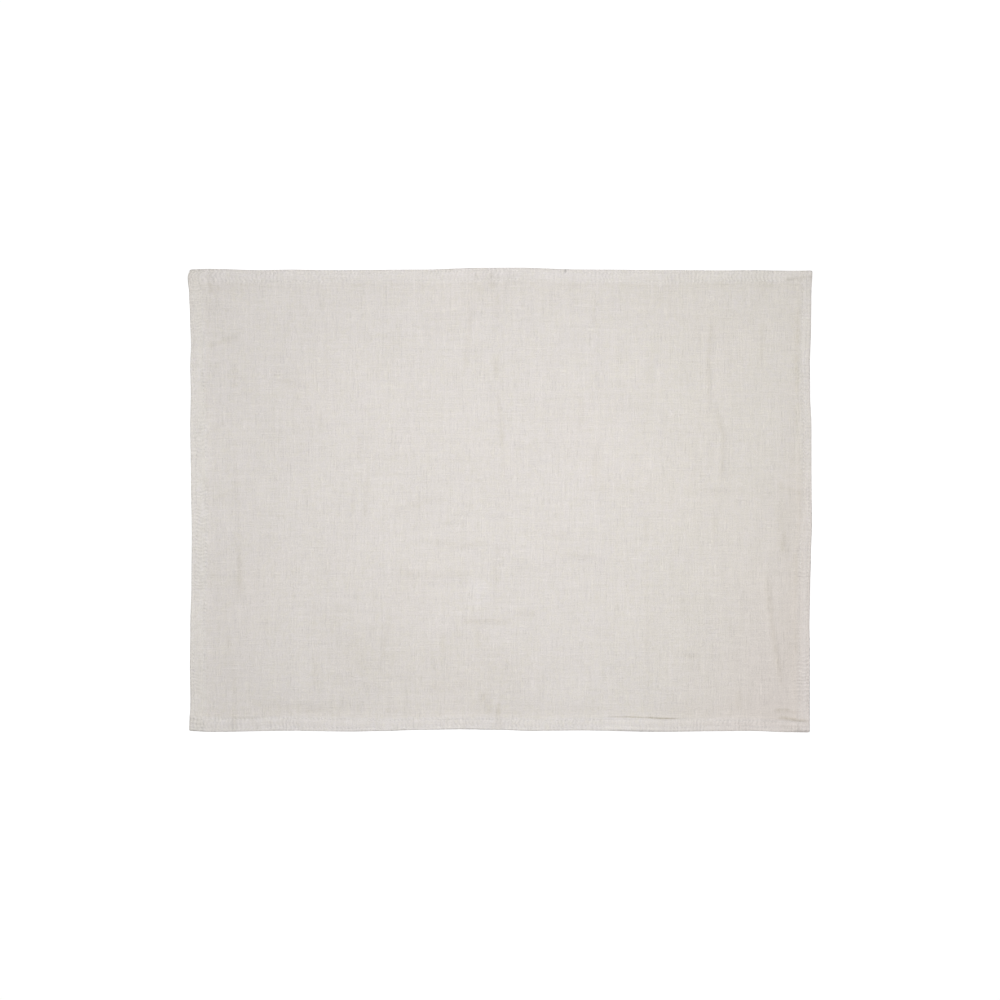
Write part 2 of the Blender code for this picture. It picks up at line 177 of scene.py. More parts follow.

# Soft folds in mm: the line each follows, half its width, its height, and by what percent it darkens: painted
# shade, and painted light where the percent is negative.
creases = [
    (((-7, 180), (-7, 170), (-6, 163)), 3.6, -0.3, 4.4),  # the fold down the middle, top
    (((-12, 166.3), (-3, 166.4), (9, 166.6)), 1.6, 0.1, 3),
    (((-6, 169), (-2, 152), (-1.5, 134)), 4.5, 0.4, 2.8),
    (((-4, 115), (-3.5, 92)), 3.8, 0.35, 4.8),
    (((-4, 87), (-1, 75), (1, 60), (0.5, 39)), 3.4, 0.45, 4.6),
    (((1, 56), (0.5, 40.5)), 3, 0.1, 1.6),
    (((1, 42), (3, 0), (5, -42)), 6, 0.3, 1.9),
    (((-3, -32), (-1, -45)), 3.2, 0.2, 3.6),
    (((-4, -46), (-4, -64)), 3.4, 0.2, 3.6),
    (((-15, -145), (-12, -154), (-8, -167)), 5.5, 0.5, 5.6),  # and at the bottom
    (((-2, -154), (-1, -167), (0.5, -181)), 3, 0.5, 8.5),
    (((-20, 152), (-24, 140), (-26, 120), (-28.5, 96)), 3.4, 0.35, 4.2),
    (((-16, 169), (-15, 156)), 2.2, 0.2, 3),
    (((162, 152), (162, 128), (160.5, 108), (161, 76), (160.5, 56)), 3.1, 0.45, 4.4),
    (((166, 75), (168, 62), (173, 50), (171, 38), (170.5, 9)), 3.7, 0.45, 3.8),
    (((165, -7), (165, -44)), 3.4, 0.3, 3.8),
    (((203, 179), (203, 156)), 2.5, 0.25, 4.6),
    (((203, 142), (201, 101)), 2.8, 0.3, 4),
    (((217, 2), (217, -24), (219, -44)), 5.5, 0.4, 3.4),
    (((218.5, -22), (218.5, -44)), 3.4, 0.1, 3),
    (((204, -48), (208, -76), (210, -95), (213, -118), (219, -154)), 3.7, 0.6, 5.8),
    (((213, -66), (222, -108), (224, -142)), 9, 0.4, 1.6),
    (((229.3, 150), (229.8, 115)), 3.4, -0.2, 6),  # beside the right hem
    (((229.2, 121), (229, 79)), 3.2, -0.2, 5.2),
    (((229.3, 77), (229.3, 51)), 2.6, -0.15, 3.6),
    (((225, 47), (226, 27)), 2.7, 0.1, 2.4),
    (((228, -41), (228.5, -69)), 3.2, -0.15, 2.8),
    (((229, -95), (229, -123)), 2.6, -0.15, 2.8),
    (((209, 13), (222, 9), (232, 5), (242, 5)), 3.2, 0.3, 4.2),  # the fold across, right half
    (((56, 9), (90, 10), (126, 8)), 4.4, 0.2, 2.5),
    (((120, 8), (160, 8), (213, 6)), 3.8, 0.2, 2),
    (((117, 141), (150, 141), (183, 140)), 3.2, 0.15, 1.5),
    (((130, 173), (131, 138)), 2.8, 0.15, 2.3),
    (((123, 169), (122, 147)), 2.8, 0.15, 2.6),
    (((72, 165), (73, 130)), 2.8, 0.2, 3.6),
    (((62, 85), (61, 50)), 3, 0.2, 3),
    (((73, 45), (73, 5)), 3.6, 0.2, 3.2),
    (((117, 119), (115, 89)), 2.8, 0.15, 2.4),
    (((113, -58), (112.5, -168)), 4, 0.2, 2.2),
    (((113, -9), (112, -38)), 3, 0.15, 3),
    (((-233, 120.5), (-222, 120), (-212, 124), (-199, 129.5)), 2.8, 0.4, 5),
    (((-206, 108), (-205.5, 85)), 2.6, 0.25, 4.6),
    (((-229, 95), (-228, 63)), 2.8, -0.15, 4.4),
    (((-225, 52.5), (-213, 60.5)), 3.2, 0.15, 3),
    (((-205, 55), (-204, -12)), 3, 0.2, 2.5),
    (((-203, -11), (-202.5, -39)), 3, 0.2, 2.7),
    (((-202, -30), (-201.5, -79)), 4.2, 0.35, 4.6),
    (((-226, -1), (-216, 3), (-203, 9)), 3, 0.2, 3),
    (((-222, -41), (-222, -69)), 5.5, 0.2, 2.4),
    (((-211, -103), (-209, -121)), 2.7, 0.15, 4.4),
    (((-208, -117), (-205, -150), (-204, -165)), 2.8, 0.2, 2.6),
    (((-206, -160), (-206.8, -182)), 2.4, 0.3, 9.5),
    (((-208, -168), (-196, -168.2), (-183, -168.4)), 1.4, 0.05, 7),
    (((-103, 21), (-104.5, -16)), 2.8, 0.25, 4),
    (((-114, 9), (-114, -13)), 2.6, 0.15, 3.6),
    (((-109, 56), (-110, 28)), 2.8, 0.15, 3.2),
    (((-145, -77), (-144.5, -105)), 2.8, 0.15, 3.4),
    (((-144, -109), (-143, -149)), 3.2, 0.15, 3.2),
    (((-134.5, 160), (-134, 71)), 2.2, 0.1, 2.3),
    (((-92, 116), (-91, 96)), 2.8, 0.15, 2.2),
    (((-32, 93), (-32, 71)), 2.2, 0.1, 2.2),
    (((-93, -2), (-78, -8), (-60, 0), (-45, 2)), 5.4, 0.35, 2.7),  # slack cloth around the middle
    (((-53, -33), (-30, -35), (-9, -32)), 3.6, 0.3, 3.7),
    (((-83, -52), (-66, -57), (-27, -57), (-12, -57)), 4.8, 0.35, 2.8),
    (((-82, -53), (-64, -58)), 9, 0.2, 1.7),
    (((-36, -93), (-12, -94), (13, -94)), 4.8, -0.35, 5.6),
    (((11, -88), (30, -87)), 3.6, 0.2, 4.2),
    (((-45, -99), (-44, -122)), 2.6, 0.2, 3.8),
    (((-33, -95), (-32, -109)), 2.6, 0.15, 4),
    (((-18, -96), (-17, -117)), 2.8, 0.2, 3.8),
    (((37, -27), (55, -26)), 4.2, 0.2, 3.6),
    (((47, -41), (79, -44)), 3.9, 0.15, 2.6),
    (((-18, -60), (-17, -85)), 11.5, 0.45, -4.2),
    (((-197, -161), (-98, -162)), 7, -0.2, 1.6),  # along the bottom hem
    (((-153, -163), (-136, -162)), 4.2, -0.2, 3.2),
    (((-91, -163), (-77, -163)), 3.7, -0.15, 2.8),
    (((73, -103), (91, -104)), 2.8, 0.1, 3),
    (((140, -120), (154, -119)), 2.3, 0.15, 4),
    (((184, -144), (184, -163)), 4, 0.2, 4.2),
    (((49, 166), (65, 166)), 3.2, -0.1, 2.3),
    (((-224, 180), (-224, 158)), 3.2, -0.25, 5.5),  # the corners
    (((-234, 163), (-214, 163)), 3.2, -0.15, 3.6),
    (((218, 169.5), (226, 169)), 3.6, 0.2, 4.6),
    (((219, 171), (243, 172)), 2, 0.3, 7.5),
    (((232, 168), (233, 158)), 3, 0.15, 4.6),
    (((210, -162), (221, -162), (232, -162.8)), 2.1, 0.35, 9),
    (((213, -168.1), (221, -168.7), (229, -169.8), (240, -170.7)), 1.8, 0.4, 16),
    (((213, -175), (233, -176)), 2.2, 0.1, 5),
    (((-235, -164), (-209, -167)), 3.2, 0.15, 2.8),
    (((-242, -130), (-228, -130)), 2.6, 0.15, 2.4),
    (((112, -45), (113, -70)), 3.4, 0.15, 2.4),  # short ones
    (((139, 25), (139, 6), (141, -4)), 2.2, 0.1, -1.8),
    (((142, -73), (143, -93)), 2.6, 0.1, 2.8),
    (((177, -90), (178, -105)), 2.8, 0.1, 2.4),
    (((-129, -91), (-131, -105)), 2.8, 0.1, 3),
    (((-184, -90), (-180, -99)), 2.6, 0.1, 3.2),
    (((-84, -90), (-90, -108), (-92, -129)), 3, 0.15, 2.5),
    (((-226, 160), (-227, 126)), 3.2, -0.1, 3),
    (((-182, 103), (-172, 94), (-151, 88)), 2.8, 0.1, 2.4),
    (((-229, 21), (-226, 7)), 2.4, 0.1, 2.4),
    (((-176, 48), (-176, 32)), 5, 0.1, 2),
    (((-193, -6), (-167, -8)), 5, 0.1, 1.7),
    (((-134, -43), (-134, -56)), 2.6, 0.1, 3),
    (((-150, -60), (-140, -59)), 2.8, 0.1, 2.6),
    (((-61, -143), (-42, -144), (-21, -140)), 4, 0.15, 2.3),
    (((48, -121), (62, -124), (69, -134), (69, -151)), 2.6, 0.15, 2.4),
    (((74, -60), (74, -87)), 2.8, 0.1, 2),
    (((-71, -173), (-59, -174)), 1.8, 0.05, 3),
    (((-50, 172), (-22, 172.4)), 1.7, 0.05, 2.6),
    (((-22, 172.5), (16, 172.5)), 1.7, 0.05, 3),
    (((110, -167.8), (123, -168.5), (138, -168.7)), 1.3, 0, 7.5),  # the end of the pleat
    (((-150, -120), (-80, -128), (40, -140)), 44, 0.1, 2.4),  # broad and faint painted shade and light
    (((-200, -60), (-60, -75)), 34, 0, 0.7),
    (((236, 60), (236, -140)), 26, 0, 1.9),
    (((-10, 158), (70, 156)), 22, 0, 1),
    (((40, 30), (130, 10)), 55, 0, -0.8),
    (((-130, -70), (-110, -150)), 30, 0, 0.8),
    (((-236, 150), (-236, -150)), 14, 0, -1.4),
]

# A small pleat caught in the bottom hem's inner fold, in mm.
pleat = {
    "path": ((77, -167.2), (100, -167.3), (112, -167.6), (124, -168.4), (136, -168.5), (143, -167.8)),
    "height": 0.40,
    "slope": 3.6,  # how far it takes to rise on the side away from the hem
    "drop": 0.35,  # and to come down on the hem's side
    "shade": 20,  # percent of painted shadow
    "slopeShade": 0.22,  # half width of the painted shadow line on the gentle side
    "dropShade": (0.15, 0.34),  # and its middle and half width on the sharp side
    "fade": 0.22,  # share of its length over which it rises from each end
}


def ease(share):
    share = min(max(share, 0.0), 1.0)
    return share * share * (3 - 2 * share)


def blendBetween(low, high, share):
    return low + (high - low) * share


def waveAt(waves, along):
    along = min(max(along / mm, waves[0][0]), waves[-1][0])
    for (lowAlong, lowOut), (highAlong, highOut) in zip(waves, waves[1:]):
        if along <= highAlong:
            return blendBetween(lowOut, highOut, ease((along - lowAlong) / (highAlong - lowAlong))) * mm
    return waves[-1][1] * mm


def foldShadeAt(x, y):  # by what percent of painted shade the nearest outer fold is darker here
    name, inset, along = min(hemInsets(x, y), key=lambda place: place[1])
    return waveAt(foldShadeLines[name], along) / mm


def nearPath(path, x, y):  # distance off a path in mm, share of it to its nearer end, and which side
    nearest, side, alongNearest, walked = 1e9, 1, 0.0, 0.0
    for (x0, y0), (x1, y1) in zip(path, path[1:]):
        runX, runY = x1 - x0, y1 - y0
        length = hypot(runX, runY)
        share = min(max(((x - x0) * runX + (y - y0) * runY) / length ** 2, 0.0), 1.0)
        offX, offY = x - x0 - runX * share, y - y0 - runY * share
        distance = hypot(offX, offY)
        if distance < nearest:
            nearest, alongNearest = distance, walked + length * share
            side = 1 if runX * offY > runY * offX else -1
        walked += length
    return nearest, min(alongNearest, walked - alongNearest) / walked, side


def reachOf(crease):  # the box outside which a crease does nothing
    xs, ys = zip(*crease[0])
    half = crease[1]
    return min(xs) - half, max(xs) + half, min(ys) - half, max(ys) + half


reaches = [reachOf(crease) for crease in creases]


def creaseAt(crease, reach, x, y):  # 0 off the crease, 1 on its crest
    x, y = x / mm, y / mm
    if not (reach[0] < x < reach[1] and reach[2] < y < reach[3]):
        return 0.0
    path, halfWidth = crease[:2]
    distance, toEnd = nearPath(path, x, y)[:2]
    if distance >= halfWidth:
        return 0.0
    return (1 - (distance / halfWidth) ** 2) ** 2 * ease(toEnd / cloth["creaseFade"])


def creasedAt(x, y):  # height and painted shade
    height = shadeAndPaleness = 0.0
    for crease, reach in zip(creases, reaches):
        share = creaseAt(crease, reach, x, y)
        height += crease[2] * mm * share
        shadeAndPaleness += cloth["creaseShade"] * crease[3] * share
    return height, shadeAndPaleness


def cockleAt(x, y):
    (broadX, broadY), (fineX, fineY) = cloth["cockleBroad"], cloth["cockleFine"]
    broad = noise.noise(Vector((x / broadX, y / broadY, 3.1)))
    fine = noise.noise(Vector((x / fineX, y / fineY, 8.7)))
    return cloth["cockle"] * max(1.1 + broad + 0.5 * fine, 0.0)


# How far a place lies past the inner fold of the nearer hem: positive inside the mat, negative in a hem.
def sideDepth(x):
    half = cloth["width"] / 2
    return min(half + x - hems["left"]["width"], half - x - hems["right"]["width"])


def endDepth(y):
    half = cloth["depth"] / 2
    return min(half + y - hems["bottom"]["width"], half - y - hems["top"]["width"])


def hemInsets(x, y):  # each hem, how far in from its outer fold the place is, and how far along
    halfWidth, halfDepth = cloth["width"] / 2, cloth["depth"] / 2
    return (
        ("left", halfWidth + x, y), ("right", halfWidth - x, y),
        ("bottom", halfDepth + y, x), ("top", halfDepth - y, x),
    )


def driftAt(name, inset, along):  # how far inwards a place near this hem has wandered
    start, fadeStart = cloth["driftStart"], hems[name]["width"] + cloth["driftPast"]
    if not start < inset < fadeStart + cloth["driftFade"]:
        return 0.0
    outerRow, innerRow = hems[name]["rows"]
    outer, inner = (waveAt(waves, along) for waves in rowDrifts[name])
    if inset < outerRow:
        return outer * (inset - start) / (outerRow - start)
    if inset < innerRow:
        return blendBetween(outer, inner, ease((inset - outerRow) / (innerRow - outerRow)))
    return inner * (1 - ease((inset - fadeStart) / cloth["driftFade"]))


def driftOf(x, y):  # and by how much that moves it
    left, right, bottom, top = (driftAt(*place) for place in hemInsets(x, y))
    return left - right, bottom - top


stitching = {
    "pitch": 2.97 * mm,
    "length": 2.2 * mm,
    "wide": 0.55 * mm,
    "high": 0.38 * mm,
    "bow": 0.24 * mm,  # its ends go down into the cloth by this much
    "turn": (0.10, 0.14),  # how far it leans, in radians, and how unevenly
    "above": 0.05 * mm,  # its middle lies this far off the upper side
    "below": 0.02 * mm,  # and this far off the lower one
    "endGap": 2.2 * mm,  # from a row's end to the mat's edge
    "sink": 0.12 * mm,  # the groove that the thread pulls in the hem
    "lift": 0.24 * mm,  # and the one under it
    "grooveHalf": 0.55 * mm,
    "ripple": 0.14 * mm,  # how unevenly the sewing holds the hem
    "rippleGrain": (6.5 * mm, 9 * mm),  # along the hem and across it
    "rippleFade": 4 * mm,
}


def grooveAt(x, y):  # 1 on a row of stitches, 0 away from it
    groove = 0.0
    for name, inset, along in hemInsets(x, y):
        for row in hems[name]["rows"]:
            groove = max(groove, exp(-((inset - row) / stitching["grooveHalf"]) ** 2))
    return groove


def rippleAt(x, y):
    height = 0.0
    grainAlong, grainAcross = stitching["rippleGrain"]
    for name, inset, along in hemInsets(x, y):
        reach = 1 - ease((inset - hems[name]["width"]) / stitching["rippleFade"])
        if reach > 0:
            place = Vector((along / grainAlong, inset / grainAcross, len(name) + 0.5))
            height += reach * noise.noise(place)
    return stitching["ripple"] * height


def pleatAt(x, y):  # height and painted shadow
    distance, toEnd, side = nearPath(pleat["path"], x / mm, y / mm)
    if distance > pleat["slope"] or toEnd <= 0:
        return 0.0, 0.0
    fade = ease(toEnd / pleat["fade"])
    if side > 0:
        rise = ease(1 - distance / pleat["slope"])
        shade = exp(-(distance / pleat["slopeShade"]) ** 2)
    else:
        middle, half = pleat["dropShade"]
        rise = ease(1 - distance / pleat["drop"])
        shade = exp(-((distance - middle) / half) ** 2)
    return pleat["height"] * mm * rise * fade, pleat["shade"] * shade * fade


def bulkAt(x, y):  # how high the turned layers hold the top one, and how many lie under it
    pitch, cornerPitch = cloth["layerPitch"], cloth["cornerPitch"]
    side, end = sideDepth(x), endDepth(y)
    sideStep = 1 - ease(side / cloth["step"])
    sideSettle = 1 - ease(side / cloth["settle"])
    endSettle = 1 - ease(end / cloth["settle"])
    endLayers = 2 + 6 * sideStep
    endHeight = endLayers * blendBetween(pitch, cornerPitch, sideStep)
    height = blendBetween(2 * pitch * sideSettle, endHeight, endSettle)
    return height, blendBetween(2, endLayers, endSettle)


def topHeight(x, y):  # the middle of the top layer of cloth, and how far all is lifted
    moved = movedPlace(x, y)
    lift = max(creasedAt(*moved)[0] + cockleAt(x, y), 0.0)
    top = lift + bulkAt(x, y)[0] + cloth["thick"] / 2 + rippleAt(x, y) + pleatAt(*moved)[0]
    return top - stitching["sink"] * grooveAt(x, y), lift


def movedPlace(x, y):  # where a point of the straight mat lies once its edges and rows wander
    halfWidth, halfDepth = cloth["width"] / 2, cloth["depth"] / 2
    driftX, driftY = driftOf(x, y)
    movedX = x + driftX - waveAt(leftWaves, y) * ease(1 - (halfWidth + x) / cloth["waveReach"])
    movedX += waveAt(rightWaves, y) * ease(1 - (halfWidth - x) / cloth["waveReach"])
    movedY = y + driftY - waveAt(bottomWaves, x) * ease(1 - (halfDepth + y) / cloth["waveReach"])
    movedY += waveAt(topWaves, x) * ease(1 - (halfDepth - y) / cloth["waveReach"])
    radius = cloth["cornerRound"]
    inX, inY = halfWidth - abs(x), halfDepth - abs(y)
    if inX < radius and inY < radius:
        offX, offY = radius - inX, radius - inY
        drawn = 1 - max(offX, offY) / hypot(offX, offY)
        movedX -= offX * drawn * (1 if x > 0 else -1)
        movedY -= offY * drawn * (1 if y > 0 else -1)
    return movedX, movedY


# A station is one row or column of the sheet: which part of a hem it is in, and how far along that part.
def hemStations(hem):  # from the raw edge out to the fold and back over the face
    width = hem["width"]
    outerRow, innerRow = hem["rows"]
    beside = 0.6 * mm  # a line on each side of a row
    nearFold = 1.45 * mm
    pastOuter = 3.9 * mm
    beforeInner = 0.4 * mm
    innerTurn = width - (cloth["layerPitch"] + cloth["thick"]) / 2
    tuck = [cloth["rawEdge"], width * 0.55, innerTurn - 0.5 * mm]
    under = [innerRow + beside, innerRow, innerRow - beside, outerRow + beside, outerRow, nearFold]
    face = [nearFold, outerRow, outerRow + beside, pastOuter, (outerRow + innerRow + beside) / 2]
    face += [innerRow - beside, innerRow, innerRow + beside, width - beforeInner]
    face += [width + past for past in cloth["pastHem"]]
    stations = [("tuck", inset) for inset in tuck]
    stations += [("inner", share) for share in (1.0, 0.5, 0.0)]
    stations += [("under", inset) for inset in under]
    stations += [("outer", share) for share in (1.0, 0.72, 0.5, 0.3, 0.13, 0.0)]
    stations += [("face", inset) for inset in face]
    return stations


def stationsAcross(length, lowHem, highHem):
    low = [(-1, part, value) for part, value in hemStations(lowHem)]
    high = [(1, part, value) for part, value in reversed(hemStations(highHem))]
    first, last = low[-1][2], length - high[0][2]
    count = round((last - first) / cloth["spacing"])
    plain = [(-1, "face", blendBetween(first, last, step / count)) for step in range(1, count)]
    return low + plain + high


def stationAt(stations, place, length):  # a place between two stations is in the part that both share
    low = min(int(place), len(stations) - 2)
    share = place - low
    if share < 1e-3:
        return stations[low]
    if share > 1 - 1e-3:
        return stations[low + 1]
    (lowSide, lowPart, lowValue), (highSide, highPart, highValue) = stations[low], stations[low + 1]
    if lowSide != highSide:
        highValue = length - highValue
    return lowSide, lowPart, blendBetween(lowValue, highValue, share)


def foldedPlace(part, value, width, stack, layers, pitch):  # inset and depth in layers
    inner = (layers + 1) / 3  # the turned-in part's first layer
    half = cloth["thick"] / 2
    if part == "face":
        return value, stack
    if part == "under":
        return value, layers - stack
    if part == "tuck":
        return value, inner + stack
    if part == "outer":
        radius, angle = layers / 2, pi * value
        centre = radius * pitch + half
        return centre - (radius - stack) * pitch * sin(angle), radius - (radius - stack) * cos(angle)
    radius, angle = (layers - inner) / 2, pi * (1 + value)
    centre = width - radius * pitch - half
    depth = (layers + inner) / 2 - (radius - stack) * cos(angle)
    return centre - (radius - stack) * pitch * sin(angle), depth


def flatPlace(part, value, width):  # how far a station is from the raw edge along the flat cloth
    pitch, half = cloth["layerPitch"], cloth["thick"] / 2
    outerCentre, innerCentre = pitch + half, width - pitch / 2 - half
    innerStart = innerCentre - cloth["rawEdge"]
    underStart = innerStart + pi * pitch / 2
    outerStart = underStart + innerCentre - outerCentre
    faceStart = outerStart + pi * pitch
    if part == "tuck":
        return value - cloth["rawEdge"]
    if part == "inner":
        return innerStart + (1 - value) * pi * pitch / 2
    if part == "under":
        return underStart + innerCentre - value
    if part == "outer":
        return outerStart + (1 - value) * pi * pitch
    return faceStart + value - outerCentre


def cutSize(length, lowHem, highHem):
    outer = cloth["layerPitch"] + cloth["thick"] / 2
    turned = sum(flatPlace("face", outer, hem["width"]) - outer for hem in (lowHem, highHem))
    return length + turned


cut = {
    "width": cutSize(cloth["width"], hems["left"], hems["right"]),
    "depth": cutSize(cloth["depth"], hems["bottom"], hems["top"]),
}
print("cut from a flat piece of", round(cut["width"] / mm, 1), "by", round(cut["depth"] / mm, 1), "mm")


def acrossOf(station, length, lowHem, highHem, stack, layers, pitch, cutLength):
    side, part, value = station
    width = (lowHem if side < 0 else highHem)["width"]
    inset, depth = foldedPlace(part, value, width, stack, layers, pitch)
    along = flatPlace(part, value, width)
    if side < 0:
        return inset - length / 2, depth, along
    return length / 2 - inset, depth, cutLength - along


# A point's place, its place on the flat cut, how pressed it is, and its place on the straight mat.
def sheetPoint(xStation, yStation):
    x, stack, cutX = acrossOf(
        xStation, cloth["width"], hems["left"], hems["right"], 0, 2, cloth["layerPitch"], cut["width"])
    sideStep = 1 - ease(sideDepth(x) / cloth["step"])
    pitch = blendBetween(cloth["layerPitch"], cloth["cornerPitch"], sideStep)
    y, depth, cutY = acrossOf(
        yStation, cloth["depth"], hems["bottom"], hems["top"], stack, 2 + 6 * sideStep, pitch, cut["depth"])
    top, lift = topHeight(x, y)
    layers = bulkAt(x, y)[1]
    base = lift + cloth["thick"] / 2 + stitching["lift"] * grooveAt(x, y)
    height = top - (top - base) * depth / layers
    inHem = sideDepth(x) < 0 or endDepth(y) < 0
    pressed = min(1.0, (top - base) / layers / cloth["thick"]) if inHem else 1.0
    movedX, movedY = movedPlace(x, y)
    pressed = max(pressed, cloth["mostPressed"])
    return Vector((movedX, movedY, height)) + shift, (cutX, cutY), pressed, (x, y)


hemShade = {  # percents, and distances past a hem's inner fold
    "line": 1.6,  # painted shade: a broken dark line
    "linePlace": 0.6 * mm,
    "lineHalf": 1.1 * mm,
    "lineGrain": 13 * mm,
    "paler": 3.6,  # three layers look paler than one
    "palerEdge": (-1 * mm, 0.5 * mm),
    "reach": 30 * mm,  # how far in from an outer fold its hem's tones count
}


def shadeAndPalenessAt(x, y):  # by what percent a place of the face is darker: painted shade and light of creases, pleat and hems, less the paler look of the hems' layers
    moved = movedPlace(x, y)
    shadeAndPaleness = creasedAt(*moved)[1] + pleatAt(*moved)[1]
    hem = min(sideDepth(x), endDepth(y))
    grain = hemShade["lineGrain"]
    uneven = max(0.5 + 1.4 * noise.noise(Vector((x / grain, y / grain, 12.5))), 0)
    shadeAndPaleness += hemShade["line"] * uneven * exp(-((hem - hemShade["linePlace"]) / hemShade["lineHalf"]) ** 2)
    start, end = hemShade["palerEdge"]
    shadeAndPaleness -= hemShade["paler"] * (1 - ease((hem - start) / (end - start)))
    shares = values = 0.0
    for name, inset, along in hemInsets(x, y):
        share = 1 - ease(inset / hemShade["reach"])
        shares += share
        values += share * waveAt(hemShadeAndLight[name], inset) / mm
    return shadeAndPaleness + values / max(shares, 1e-6)


def facePlace(xStations, yStations, place):  # where a place of the grid lies, if it is on the face
    xSide, xPart, xValue = stationAt(xStations, place.x, cloth["width"])
    ySide, yPart, yValue = stationAt(yStations, place.y, cloth["depth"])
    if xPart != "face" or yPart != "face":
        return None
    return xSide * (cloth["width"] / 2 - xValue), ySide * (cloth["depth"] / 2 - yValue)


def cutNearCreases(bm, xStations, yStations):
    narrow = [pair for pair in zip(creases, reaches) if pair[0][1] < cloth["creaseNarrow"]]
    chosen = []
    for edge in bm.edges:
        place = facePlace(xStations, yStations, (edge.verts[0].co + edge.verts[1].co) / 2)
        if place is None or min(sideDepth(place[0]), endDepth(place[1])) < cloth["pastHem"][-1]:
            continue
        moved = movedPlace(*place)
        if any(creaseAt(crease, reach, *moved) > 0.02 for crease, reach in narrow):
            chosen.append(edge)
    bmesh.ops.subdivide_edges(bm, edges=chosen, cuts=1, use_grid_fill=True)


def cutForPleat(bm, xStations, yStations):
    start, end = pleat["path"][0][0] * mm, pleat["path"][-1][0] * mm
    innerFold = hems["bottom"]["width"] - cloth["depth"] / 2
    beyond, beside = 2 * mm, 2.6 * mm
    chosen = []
    for edge in bm.edges:
        low, high = (vert.co for vert in edge.verts)
        place = facePlace(xStations, yStations, (low + high) / 2)
        if place is None or abs(high.x - low.x) > 1e-3:
            continue
        if start - beyond < place[0] < end + beyond and abs(place[1] - innerFold) < beside:
            chosen.append(edge)
    bmesh.ops.subdivide_edges(bm, edges=chosen, cuts=3, use_grid_fill=True)


def newPiece(name, bm):  # an object at the origin, with its shape in its mesh
    mesh = bpy.data.meshes.new(name)
    bm.to_mesh(mesh)
    bm.free()
    piece = bpy.data.objects.new(name, mesh)
    bpy.context.scene.collection.objects.link(piece)
    return piece


def makeCloth():
    xStations = stationsAcross(cloth["width"], hems["left"], hems["right"])
    yStations = stationsAcross(cloth["depth"], hems["bottom"], hems["top"])
    lastX, lastY = len(xStations) - 1, len(yStations) - 1
    bm = bmesh.new()
    bmesh.ops.create_grid(bm, x_segments=lastX, y_segments=lastY, size=1)
    for vert in bm.verts:  # from here a vertex lies at its own column and row
        vert.co = (round((vert.co.x + 1) / 2 * lastX), round((vert.co.y + 1) / 2 * lastY), 0)
    cutNearCreases(bm, xStations, yStations)
    cutForPleat(bm, xStations, yStations)
    print("cloth grid of", len(bm.faces), "faces")

    cutMap = bm.loops.layers.uv.new("cut")
    shadeAndPalenessLayer = bm.verts.layers.float.new("shadeAndPaleness")
    foldShadeLayer = bm.verts.layers.float.new("foldShadePercent")
    driftLayer = bm.verts.layers.float_vector.new("drift")
    groups = bm.verts.layers.deform.verify()
    flat = {}
    for vert in bm.verts:
        xStation = stationAt(xStations, vert.co.x, cloth["width"])
        yStation = stationAt(yStations, vert.co.y, cloth["depth"])
        place, onCut, pressed, (x, y) = sheetPoint(xStation, yStation)
        vert.co = place
        flat[vert] = onCut
        vert[groups][0] = pressed
        vert[shadeAndPalenessLayer] = shadeAndPalenessAt(x, y)
        vert[foldShadeLayer] = foldShadeAt(x, y)
        vert[driftLayer] = (*driftOf(x, y), 0)
    for face in bm.faces:
        for loop in face.loops:
            loop[cutMap].uv = flat[loop.vert]
    piece = newPiece("linenCloth", bm)
    piece.data.shade_smooth()
    faceCount = len(piece.data.polygons)
    piece.vertex_groups.new(name="pressed")
    solid = piece.modifiers.new("thickness", "SOLIDIFY")
    solid.thickness = cloth["thick"]
    solid.offset = 0
    solid.vertex_group = "pressed"
    piece.data = bpy.data.meshes.new_from_object(
        piece.evaluated_get(bpy.context.evaluated_depsgraph_get()))
    piece.modifiers.clear()
    piece.data.name = "linenCloth"
    layBakeMap(piece.data, faceCount)
    return piece


# Where each side of the flat cloth starts on the baking map, and how high it is there.
bakeBands = {"face": (0.44, 0.55), "back": (0.01, 0.41), "raw edge": (0, 1)}
bakeMargin = 0.01


def layBakeMap(mesh, faceCount):
    cutMap = mesh.uv_layers["cut"]
    bakeMap = mesh.uv_layers.new(name="OFBake")
    rim = 0
    for face in mesh.polygons:
        side = ("face", "back", "raw edge")[min(face.index // faceCount, 2)]
        start, high = bakeBands[side]
        for loop in face.loop_indices:
            u, v = cutMap.uv[loop].vector
            u = bakeMargin + (1 - 2 * bakeMargin) * u / cut["width"]
            bakeMap.uv[loop].vector = (u, start + high * v / cut["depth"])
        rim += side == "raw edge"
    print("cloth has", len(mesh.polygons), "faces,", rim, "of them on its raw edges")


